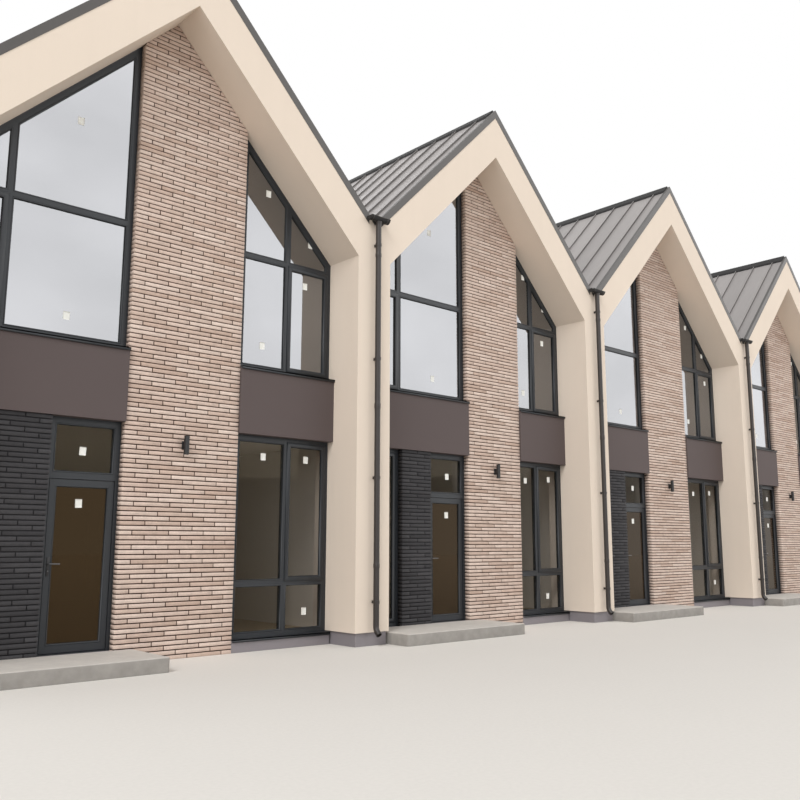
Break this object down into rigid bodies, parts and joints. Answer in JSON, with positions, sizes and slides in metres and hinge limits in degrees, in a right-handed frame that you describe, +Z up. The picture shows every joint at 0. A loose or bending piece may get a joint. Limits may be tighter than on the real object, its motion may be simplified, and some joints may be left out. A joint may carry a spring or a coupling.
{
  "type": "terraced house row",
  "caption": "Terraced row of gabled houses with brick piers, dark panels, tall glazing, seamed metal roofs and hinged glass doors.",
  "frame": {"origin": "on the ground, in the middle of the bounding box's length and depth", "axes": "+X along the row to the right as seen from the street, +Y from the street front to the back, +Z up"},
  "size_m": [24.1, 10.6047, 9.6048],
  "materials": {
    "concrete": "cast concrete",
    "inner_plaster": "matt plaster",
    "render": "fine cream render",
    "dark_plinth": "dark coated render",
    "ceiling": "lined timber roof deck",
    "roof_metal": "satin grey standing seam sheet",
    "trim_metal": "satin dark grey folded sheet",
    "pipe_metal": "satin dark brown coating",
    "light_brick": "long pale brick with recessed dark joints",
    "dark_brick": "long charcoal brick",
    "spandrel_panel": "smooth brown grey render",
    "frame_metal": "matt anthracite powder coat",
    "window_glass": "clear double glazing",
    "black_metal": "matt black coating",
    "step_concrete": "light grey cast concrete"
  },
  "bodies": {
    "row": {"ground_floors": "concrete", "upper_floors": "concrete", "party_walls": "inner_plaster", "end_walls": "render", "pilasters": "render", "pilaster_plinths": "dark_plinth", "left_rakes": "render", "left_roof_decks": "ceiling", "left_roof_sheets": "roof_metal", "left_verge_trims": "trim_metal", "right_rakes": "render", "right_roof_decks": "ceiling", "right_roof_sheets": "roof_metal", "right_verge_trims": "trim_metal", "ridge_caps": "trim_metal", "valley_gutters": "trim_metal", "hoppers": "pipe_metal", "downpipes": "pipe_metal", "pipe_clips": "pipe_metal", "brick_piers": "light_brick", "dark_brick_panels": "dark_brick", "spandrels": "spandrel_panel", "bay_plinths": "dark_plinth", "window_sills": "frame_metal", "upper_frames": "frame_metal", "upper_panes": "window_glass", "lower_frames": "frame_metal", "lower_panes": "window_glass", "door_jambs": "frame_metal", "door_thresholds": "frame_metal", "door_hinges": "black_metal", "wall_lights": "black_metal", "entrance_steps": "step_concrete"},
    "door_1": {"door_1_leaf": "frame_metal", "door_1_glass": "window_glass", "door_1_handles": "black_metal"},
    "door_2": {"door_2_leaf": "frame_metal", "door_2_glass": "window_glass", "door_2_handles": "black_metal"},
    "door_3": {"door_3_leaf": "frame_metal", "door_3_glass": "window_glass", "door_3_handles": "black_metal"},
    "door_4": {"door_4_leaf": "frame_metal", "door_4_glass": "window_glass", "door_4_handles": "black_metal"}
  },
  "joints": [
    {"name": "door_1_hinge", "type": "hinge", "parent": "row", "child": "door_1", "pos_m": [-9.414, -4.0984, 0.18], "axis": [0, 0, -1], "range_deg": [0, 90]},
    {"name": "door_2_hinge", "type": "hinge", "parent": "row", "child": "door_2", "pos_m": [-3.114, -4.0984, 0.18], "axis": [0, 0, -1], "range_deg": [0, 90]},
    {"name": "door_3_hinge", "type": "hinge", "parent": "row", "child": "door_3", "pos_m": [2.636, -4.0984, 0.18], "axis": [0, 0, -1], "range_deg": [0, 90]},
    {"name": "door_4_hinge", "type": "hinge", "parent": "row", "child": "door_4", "pos_m": [8.936, -4.0984, 0.18], "axis": [0, 0, -1], "range_deg": [0, 90]}
  ]
}
